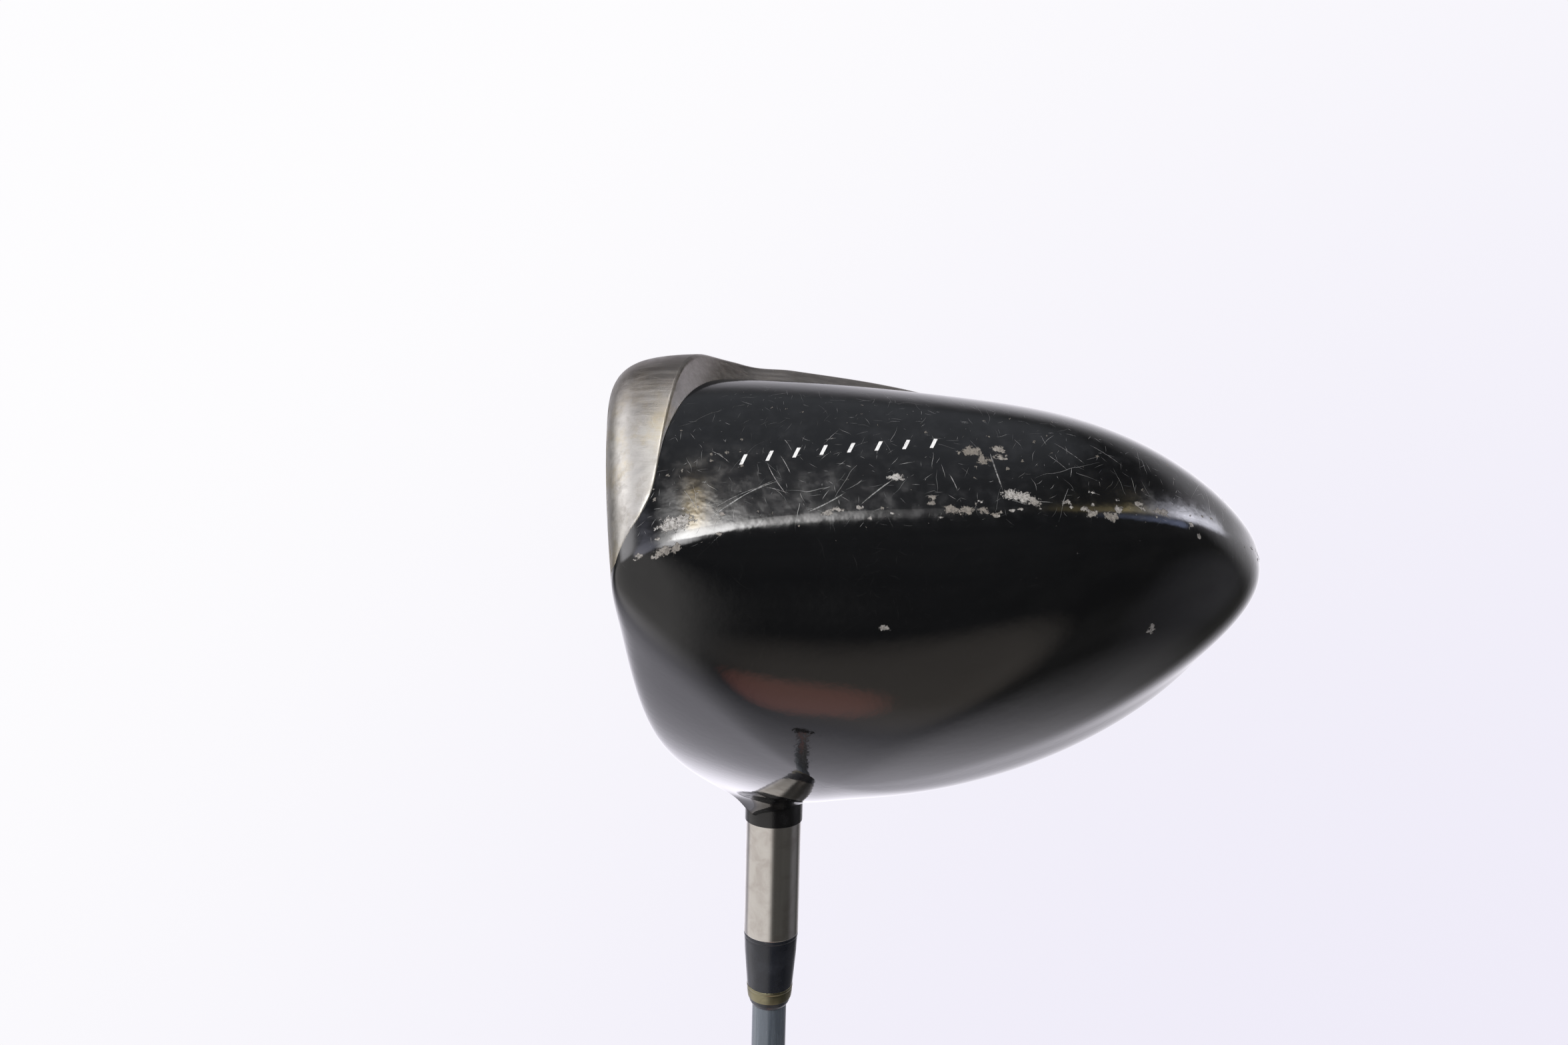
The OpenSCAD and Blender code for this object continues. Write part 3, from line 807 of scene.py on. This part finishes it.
def sole_piece():
    """The bare plate: its wall up from the skirt, a rounded rim and the sole to its middle."""
    seam_depth, seam_foot, skirt_foot = 0.14, 0.6, 0.25
    a = np.concatenate([columns(INSERT_HEEL, SEAM_AT_TOE[0], 0.6), body_columns(SEAM_AT_TOE[1], 11.92)])
    insert = a < INSERT_TOE
    start = np.where(insert, insert_end(a), plate_start(a))
    foot = np.where(insert[:, None], under(a, start, PLATE_SQUARE, seam_foot),
                    under(a, skirt_end(a), SKIRT_SQUARE, skirt_foot))
    corner = plate_point(a, start, np.where(insert, seam_depth, 0.0))
    ahead = plate_point(a, start + PLATE_TURN, 0 * a)
    wall_height = np.linalg.norm(corner - foot, axis=-1)[:, None]
    turn_from = corner + (foot - corner) * np.minimum(0.5, PLATE_RIM / np.maximum(wall_height, 0.01))
    rows = [foot + (turn_from - foot) * s for s in np.linspace(0, 1, 5)]
    for t in np.linspace(0, 1, 9)[1:]:
        rows.append(turn_from * (1 - t)**2 + corner * 2 * t * (1 - t) + ahead * t**2)
    share = np.concatenate([np.linspace(0, 0.1, 8)[1:-1], np.linspace(0.1, 1, 74)])
    w = (start + PLATE_TURN)[:, None] + (PLATE_END - start - PLATE_TURN)[:, None] * share
    outer = np.concatenate([np.stack(rows, 1), plate_point(spread(a, w), w, 0 * w)], 1)
    side = np.gradient(outer, axis=0)
    side[[0, -1]] = outer[[1, 0]] - outer[[-1, -2]]
    normals = unit(np.cross(side, np.gradient(outer, axis=1)))
    normals[:, len(rows):] = head_normal(spread(a, w), w, PLATE_SQUARE)
    inner_w = start[:, None] + (PLATE_END - start)[:, None] * np.linspace(0, 1, 12)
    inner = plate_point(spread(a, inner_w), inner_w, PLATE_WALL + 0 * inner_w)
    middle = head_point(0, 2, PLATE_SQUARE)
    pole = np.array([middle - [0, 0, PLATE_LIFT], middle + [0, 0, PLATE_WALL - PLATE_LIFT]])
    return shell("sole_skin", outer, inner, normals, True, pole)


# The scorelines: heights up the face, half width, depth, and where they start and end from its middle
LINE_UPS = np.arange(16, 46, 4.8)
LINE_HALF = 0.5
LINE_DEPTH = 0.4
LINE_GAP = 11
LINE_REACH = 36
LINE_FADE = 0.6
FACE_MID_TOE = 4


def face_piece():
    """The face insert with its scorelines cut in, and its edge turned in at the seam."""
    seam_depth, seam_reach, seam_gap = 0.22, 0.01, 0.004
    a = columns(INSERT_HEEL + 0.005, SEAM_AT_TOE[0], 0.36)
    w = 1 + (insert_end(a) - seam_gap - 1)[:, None] * np.linspace(0, 1, 330)
    places = spread(a, w)
    points = head_point(places, w, PLATE_SQUARE)
    across, up = np.abs(points[..., 1] - FACE_MID_TOE), points[..., 2]
    from_edge = w[:, -1:] - w
    away = np.min(np.abs(up[..., None] - LINE_UPS), axis=-1)
    inside = rise(across, LINE_GAP - LINE_FADE, LINE_GAP)
    inside = inside * (1 - rise(across, LINE_REACH, LINE_REACH + LINE_FADE))
    inside = inside * rise(from_edge, 0.03, 0.06) * rise(places - INSERT_HEEL, 0.05, 0.08)
    depth = LINE_DEPTH * (1 - rise(away, LINE_HALF * 0.55, LINE_HALF)) * inside
    depth = depth + seam_depth * (1 - rise(from_edge, 0, seam_reach))
    normals = head_normal(places, w, PLATE_SQUARE)
    outer = points - normals * depth[..., None]
    bent = unit(np.cross(np.gradient(outer, axis=0), np.gradient(outer, axis=1)))
    normals = np.where((depth > 0.001)[..., None], bent, normals)
    inner_w = w[:, np.linspace(0, w.shape[1] - 1, 10).astype(int)]
    inner = under(spread(a, inner_w), inner_w, PLATE_SQUARE, FACE_WALL)
    return shell("face_skin", outer, inner, normals, False)


def collar_piece():
    """The painted collar round the neck's root. The crown's flare runs up to it."""
    low, high = (corner.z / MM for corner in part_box("collar_ring"))
    inside = NECK_R + 0.02
    outline = [(inside, low), (COLLAR_R, low), (COLLAR_R, high), (inside, high)]
    return turned("neck_collar", outline, 128, 0.45)


collar_mat = moulded("collar_paint", (0.006, 0.006, 0.007), (0.03, 0.03, 0.032), 0.22)
finish_piece(crown_piece(), paint("crown_paint", 0.045, 0.35, 0.1), "crown_paint", "crown_shell")
finish_piece(skirt_piece(), paint("skirt_paint", 0.1, 1, 0.0), "skirt_paint", "skirt_shell")
finish_piece(sole_piece(), bare_titanium("bare_titanium"), "bare_titanium", "sole_plate")
finish_piece(face_piece(), bare_titanium("face_titanium", 0.04), "bare_titanium", "face_plate")
finish_piece(collar_piece(), collar_mat, "collar_paint", "collar_ring")


# -------- slanted ticks on the skirt

# The first and last tick's places on the head; the other sizes are in millimetres
TICKS = 8
TICK_FROM, TICK_TO = (2.79, 1.183), (3.73, 1.224)
TICK_HIGH = 1.75
TICK_WIDE = 0.55
TICK_SLANT = math.radians(-24)
TICK_THICK = 0.03
TICK_SUNK = 0.05


def tick_pieces():
    """A row of plain slanted ticks printed on the toe side, as thin raised paint."""
    along, high = np.meshgrid(np.linspace(-0.5, 0.5, 4) * TICK_WIDE, np.linspace(-0.5, 0.5, 10) * TICK_HIGH,
                              indexing="ij")
    along = along + high * math.tan(TICK_SLANT)
    d = 0.002
    ticks = []
    for a, w in np.linspace(TICK_FROM, TICK_TO, TICKS):
        middle = head_point(a, w, SKIRT_SQUARE)
        per_a = np.linalg.norm(head_point(a + d, w, SKIRT_SQUARE) - middle) / d
        per_w = np.linalg.norm(head_point(a, w + d, SKIRT_SQUARE) - middle) / d
        place = (a + along / per_a, w - high / per_w, SKIRT_SQUARE)
        outer, inner = (to_club(under(*place, depth)) for depth in (-TICK_THICK, TICK_SUNK))
        ticks.append(wall(outer, inner, False)[:2])
    return make_mesh("skirt_ticks", *joined(ticks))


finish_piece(tick_pieces(), tick_paint("tick_paint"), "band_paint")


# -------- neck, ferrule, shaft and grip

def shaft_r(z):
    taper = SHAFT_BUTT_R + (SHAFT_TIP_R - SHAFT_BUTT_R) * z / PARALLEL_FROM
    return SHAFT_TIP_R if z > PARALLEL_FROM else taper


def neck_piece():
    """The bare neck tube with the bore that the shaft goes into."""
    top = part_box("hosel_tube")[1].z / MM
    bore_r = SHAFT_TIP_R + 0.15
    outline = [(bore_r, NECK_END), (NECK_R, NECK_END), (NECK_R, top), (bore_r, top)]
    return turned("neck_tube", outline, 128, 0.3)


# Down the shaft from the neck's end to the top and the end of the gold ring
RING_TOP, RING_END = 13.3, 16.4


def ferrule_piece():
    """The tapered sleeve, with a fine groove near the neck and a seat for the gold ring."""
    end = FERRULE_END - NECK_END
    outline = [(SHAFT_TIP_R, 0), (NECK_R - 0.05, 0), (NECK_R - 0.07, -0.7), (NECK_R - 0.22, -0.85),
               (NECK_R - 0.24, -1.25), (6.5, -1.4), (6.35, -4.5), (6.05, -8), (5.6, -RING_TOP),
               (5.0, -RING_TOP), (4.7, -RING_END), (5.2, -RING_END), (4.95, -RING_END - 1), (4.5, end),
               (SHAFT_TIP_R, end)]
    return turned("ferrule_turned", [(r, NECK_END + z) for r, z in outline], 128, 0.12)


def trim_piece():
    """The gold ring, with a groove turned round it."""
    outline = [(5.0, -RING_TOP), (5.64, -RING_TOP), (5.66, -RING_TOP - 0.5), (5.5, -RING_TOP - 0.85),
               (5.56, -RING_TOP - 1.2), (5.5, -RING_TOP - 2.1), (5.35, -RING_END), (4.7, -RING_END)]
    return turned("ferrule_trim", [(r, NECK_END + z) for r, z in outline], 128, 0.12)


def shaft_piece():
    """The tapered tube, hollow, with a step inside its tip for the weight and the plug."""
    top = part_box("shaft")[1].z / MM
    pin_r, pin_floor = 2.6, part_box("tip_plug")[0].z / MM - 2
    outline = [(shaft_r(0) - 1.1, CAP_T), (shaft_r(CAP_T), CAP_T)]
    outline += [(shaft_r(z), z) for z in np.linspace(CAP_T, PARALLEL_FROM, 40)[1:-1]]
    outline += [(SHAFT_TIP_R, PARALLEL_FROM), (SHAFT_TIP_R, top - 0.5), (SHAFT_TIP_R - 0.5, top),
                (pin_r, top), (pin_r, pin_floor)]
    return turned("shaft_tube", outline, 96, 0.1)


def band_piece():
    """Two thin bands round the shaft below the grip, each a sleeve with rounded edges."""
    low, high = (corner.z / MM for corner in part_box("shaft_bands"))
    wide, narrow, thick, sunk = 12, 3, 0.12, 0.05
    sleeves = []
    for start, end in ((low, low + wide), (high - narrow, high)):
        outline = [(shaft_r(start) - sunk, start), (shaft_r(start) + thick, start),
                   (shaft_r(end) + thick, end), (shaft_r(end) - sunk, end)]
        sleeves.append(ring(outline, 96, 0.06))
    return make_mesh("shaft_rings", *joined(sleeves))


# Height and radius of the rubber, the panels of crossing grooves, and the rings between them
GRIP_OUTLINE = [(CAP_T, 14.6), (9, 14.6), (13, 14.2), (21, 13.5), (30, 13.3), (80, 12.2), (170, 10.7),
                (265, 9.4), (267.4, 8.9), (268, 8.3)]
GRIP_PANELS = ((26, 90), (102, 172), (184, 248))
RING_GROOVES = (CAP_T + 9, CAP_T + 13, 94, 98, 176, 180, 252, 256)
KNURL_STARTS = 9
KNURL_PITCH = 62
GROOVE_HALF = 0.8
GROOVE_DEPTH = 0.5


def groove(phase, spacing):
    """1 in the middle of a groove at each whole phase, 0 between them."""
    off = np.abs(phase - np.round(phase)) * spacing
    return 1 - rise(off, GROOVE_HALF * 0.1, GROOVE_HALF * 1.3)


def grip_piece():
    """A slip-on rubber grip: crossing moulded grooves in panels, with plain rings between them."""
    around, inner_rows = 176, 12
    z = np.concatenate([[CAP_T, CAP_T + 0.3, CAP_T + 0.8], np.linspace(CAP_T + 1.4, GRIP_LEN - 3, 470),
                        GRIP_LEN - np.array([2.2, 1.4, 0.8, 0.3, 0])])
    heights, radii = np.array(GRIP_OUTLINE, float).T
    body = smooth_lookup(z, np.stack([heights, np.minimum(radii, GRIP_FLARE_R)], 1))
    angle = -np.arange(around) / around * FULL_TURN
    theta, zz = np.meshgrid(angle, z, indexing="ij")
    r = np.broadcast_to(np.minimum(body, GRIP_FLARE_R), theta.shape)
    spacing = FULL_TURN * r / KNURL_STARTS * 0.8
    across, along = KNURL_STARTS * theta / FULL_TURN, KNURL_STARTS * zz / KNURL_PITCH
    crossed = np.maximum(groove(across + along, spacing), groove(across - along, spacing))
    panel = sum(rise(zz, low, low + 1.2) * (1 - rise(zz, high - 1.2, high)) for low, high in GRIP_PANELS)
    depth = GROOVE_DEPTH * crossed * panel
    for height in RING_GROOVES:
        depth = np.maximum(depth, GROOVE_DEPTH * (1 - rise(np.abs(zz - height), 0.3, 0.85)))
    r = r - depth
    outer = np.stack([r * np.cos(theta), r * np.sin(theta), zz], -1)
    inner_z = np.linspace(CAP_T, GRIP_LEN, inner_rows)
    inner_r = np.array([shaft_r(h) + 0.4 * (h < GRIP_LEN - 6) for h in inner_z])
    angle = angle[:, None]
    inner = np.stack(np.broadcast_arrays(inner_r * np.cos(angle), inner_r * np.sin(angle), inner_z), -1)
    return make_mesh("grip_rubber", *wall(outer, inner, True)[:2])


def cap_piece():
    """The butt cap: a rounded edge, a shallow groove round the middle and the vent hole."""
    vent, r = 2.0, GRIP_FLARE_R
    outline = [(vent, 0.5), (vent + 0.6, 0), (5.2, 0), (5.4, 0.35), (6.6, 0.35), (6.8, 0), (r - 2.6, 0),
               (r - 0.8, 0.9), (r, 2.4), (r, CAP_T - 0.5), (r - 0.35, CAP_T), (vent, CAP_T)]
    return turned("grip_end", outline, 128, 0.3)


neck_mat = turned_metal("neck_steel", (0.62, 0.60, 0.575), (0.52, 0.49, 0.465), 0.2)
ferrule_mat = moulded("ferrule_plastic", (0.012, 0.014, 0.02), (0.024, 0.027, 0.036), 0.24)
trim_mat = turned_metal("trim_gold", (0.27, 0.25, 0.165), (0.15, 0.14, 0.10), 0.34)
band_mat = turned_metal("band_silver", (0.62, 0.63, 0.65), (0.4, 0.4, 0.42), 0.25)
rubber_mat = moulded("grip_rubber", (0.012, 0.012, 0.013), (0.045, 0.043, 0.04), 0.62, 2.2, 0.00012)
cap_mat = moulded("cap_rubber", (0.010, 0.010, 0.011), (0.04, 0.04, 0.04), 0.55, 2.2, 0.0001)
finish_piece(neck_piece(), neck_mat, "neck_metal", "hosel_tube")
finish_piece(ferrule_piece(), ferrule_mat, "ferrule_plastic", "ferrule")
finish_piece(trim_piece(), trim_mat, "trim_gold", "ferrule_ring")
finish_piece(shaft_piece(), shaft_paint("shaft_paint"), "shaft_paint", "shaft")
finish_piece(band_piece(), band_mat, "band_paint", "shaft_bands")
finish_piece(grip_piece(), rubber_mat, "grip_rubber", "grip")
finish_piece(cap_piece(), cap_mat, "cap_rubber", "grip_cap")


# -------- CAD nodes that stay as they are

HIDDEN_LOOKS = {
    "seam_weld": weld_bead("seam_bead"),
    "face_weld": weld_bead("face_bead"),
    "sole_ribs": bare_titanium("rib_titanium"),
    "rear_weight": turned_metal("weight_metal", (0.35, 0.35, 0.36), (0.24, 0.24, 0.25), 0.4),
    "hot_melt_pad": soft_lump("hot_melt", (0.62, 0.5, 0.3), (0.5, 0.38, 0.2)),
    "bore_plug": moulded("plug_plastic", (0.02, 0.02, 0.022), (0.05, 0.05, 0.05), 0.5),
    "epoxy_bond": soft_lump("epoxy", (0.55, 0.47, 0.25), (0.42, 0.34, 0.16)),
    "tip_weight": turned_metal("brass", (0.75, 0.56, 0.27), (0.5, 0.36, 0.16), 0.3),
    "tip_plug": soft_lump("cork", (0.45, 0.3, 0.17), (0.26, 0.15, 0.08)),
    "grip_tape": woven_tape("grip_tape"),
}
for name, material in HIDDEN_LOOKS.items():
    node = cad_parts[name]
    node.data.materials.clear()
    node.data.materials.append(material)


# -------- floor, light and camera

def direction(lon, lat):
    """lon 0 is behind the club as the camera sees it and 90 is to the right; lat is up."""
    lon, lat = math.radians(lon), math.radians(lat)
    return (math.sin(lon) * math.cos(lat), math.cos(lon) * math.cos(lat), math.sin(lat))


def floor_piece():
    """A round pale card that the club stands on, which fades out at its edge."""
    radius, rings, around = 1400, 24, 96
    angle = np.arange(around)[:, None] / around * FULL_TURN
    r = np.arange(1, rings + 1) / rings * radius
    grid = np.stack([np.cos(angle) * r, np.sin(angle) * r, 0 * angle * r], -1).reshape(-1, 3)
    faces = quads(around, rings, True)
    faces += [[len(grid), i * rings, (i + 1) % around * rings] for i in range(around)]
    floor = make_mesh("floor", np.concatenate([grid, [[0, 0, 0]]]), faces)
    g = Graph("floor_card")
    here = g.node("TexCoord").outputs["Object"]
    tone = g.mix(g.noise(here, 3.0), (0.66, 0.65, 0.68), (0.70, 0.69, 0.72))
    card = g.node("BsdfPrincipled", Base_Color=tone, Roughness=0.7)
    gone = g.node("BsdfTransparent")
    both = g.node("MixShader", Fac=g.step(g.vector("LENGTH", here), 0.35, 1.35),
                  i1=card.outputs[0], i2=gone.outputs[0])
    g.node("OutputMaterial", Surface=both.outputs[0])
    floor.data.materials.append(g.material)
    floor.visible_glossy = False


# Soft sources round the club: longitude, latitude, inner and outer half angle, colour, strength
SOFT_SOURCES = [
    (-6, 8, 28, 58, (1.0, 0.97, 1.06), 0.88),
    (-126, -16, 44, 62, (1.0, 0.96, 0.93), 0.82),
    (-98, 31, 7, 26, (1.0, 0.99, 1.03), 3.3),
    (38, 20, 12, 40, (1.0, 0.98, 1.04), 0.7),
    (72, -24, 6, 24, (0.94, 0.92, 1.1), 0.08),
    (-30, -55, 12, 52, (1.0, 0.97, 1.09), 0.72),
    (36, -52, 6, 26, (1.0, 0.97, 1.02), 0.22),
    (0, 90, 15, 36, (0.9, 0.95, 1.06), 0.36),
    (135, -66, 12, 26, (1.0, 0.88, 0.78), 0.42),
    (178, -78, 3, 10, (1.0, 0.3, 0.22), 0.8),
    (-173.5, 52.5, 6.2, 8.4, (1.0, 0.99, 0.98), 21.0),
    (-160, 51, 4, 8.5, (1.0, 0.99, 0.98), 6.5),
    (-169, 41, 3, 10, (1.0, 0.99, 1.0), 9.0),
    (-142, 35, 8, 17, (0.92, 0.93, 1.14), 2.0),
    (-168, 58.8, 0.5, 3.2, (1.0, 0.7, 0.22), 7.0),
]
# Rows of small sources that draw a streak: first and last longitude, latitude and strength, then
# their number, half angles and colour
STREAKS = [
    ((141, 52.5, 0.6), (108, 39.5, 3.4), 9, 0.5, 2.6, (1.0, 0.8, 0.36)),
    ((105, 38.5, 3.2), (93, 31.5, 1.2), 4, 0.5, 3.2, (1.0, 0.85, 0.5)),
    ((99, 36, 0.4), (77, 22, 5.5), 7, 1.0, 4.0, (0.95, 0.95, 1.07)),
    ((74, 20, 5.5), (60, 10.5, 2.5), 5, 1.0, 4.0, (0.95, 0.95, 1.07)),
    ((124, 39, 0.4), (84, 17, 1.6), 8, 1.0, 5.0, (0.62, 0.72, 1.1)),
]
ROOM_DARK = (0.098, 0.096, 0.092)


def room():
    """A dim room with soft sources for the reflections, and a pale backdrop for the camera."""
    world = bpy.data.worlds.new("studio")
    scene.world = world
    world.use_nodes = True
    g = Graph("studio", world.node_tree)
    way = g.node("TexCoord").outputs["Generated"]
    total = g.mix(g.step(g.noise(way, 2.4, 3.0), 0.35, 0.7), tuple(0.6 * c for c in ROOM_DARK), ROOM_DARK)
    sources = list(SOFT_SOURCES)
    for first, last, number, inner, outer, tint in STREAKS:
        sources += [(lon, lat, inner, outer, tint, power)
                    for lon, lat, power in np.linspace(first, last, number)]
    for lon, lat, inner, outer, tint, power in sources:
        facing = g.vector("DOT_PRODUCT", way, direction(lon, lat))
        glow = g.step(facing, math.cos(math.radians(outer)), math.cos(math.radians(inner)))
        total = g.vector("ADD", total, g.vector("SCALE", tuple(c * power for c in tint), glow))
    side = g.vector("DOT_PRODUCT", way, direction(60, -45))
    backdrop = g.mix(g.step(side, -0.2, 1.0), (0.985, 0.978, 0.992), (0.86, 0.835, 0.94))
    rays = g.node("LightPath").outputs["Is Camera Ray"]
    shader = g.node("Background", Color=g.mix(rays, total, backdrop), Strength=1.0)
    g.node("OutputWorld", Surface=shader.outputs[0])


def soft_light(name, place, size, power, tint):
    """A round area light aimed at the middle of the club, unseen by the camera and in reflections."""
    aim = Vector((0, 0, 0.5))
    data = bpy.data.lights.new(name, "AREA")
    data.shape = "DISK"
    data.size = size
    data.energy = power
    data.color = tint
    light = bpy.data.objects.new(name, data)
    light.location = place
    light.rotation_euler = (aim - Vector(place)).to_track_quat("-Z", "Y").to_euler()
    light.visible_glossy = False
    light.visible_camera = False
    scene.collection.objects.link(light)


floor_piece()
room()
soft_light("key", (-1.6, -1.8, 2.6), 1.4, 32, (1, 0.985, 0.96))
soft_light("fill", (1.9, 1.2, 2.2), 1.6, 14, (0.94, 0.95, 1))


def main_camera():
    """The camera that looks at the head from the toe side, with the shaft hanging below."""
    azimuth, elevation, roll, half_view = (math.radians(v) for v in (6.331, 4.615, 1.406, 38.245))
    aim = Vector((5.58, -43.5, CLUB_LENGTH + 10.06)) * MM
    distance = 0.19287
    data = bpy.data.cameras.new("main_camera")
    data.sensor_width = 36
    data.lens = 18 / math.tan(half_view)
    data.clip_start = 0.01
    camera = bpy.data.objects.new("main_camera", data)
    tilt = Matrix.Rotation(math.pi / 2 - elevation, 4, "X") @ Matrix.Rotation(roll, 4, "Z")
    camera.matrix_world = (Matrix.Translation(aim) @ Matrix.Rotation(azimuth, 4, "Z") @ tilt
                           @ Matrix.Translation((0, 0, distance)))
    scene.collection.objects.link(camera)
    scene.camera = camera


main_camera()
scene.view_settings.view_transform = "Standard"
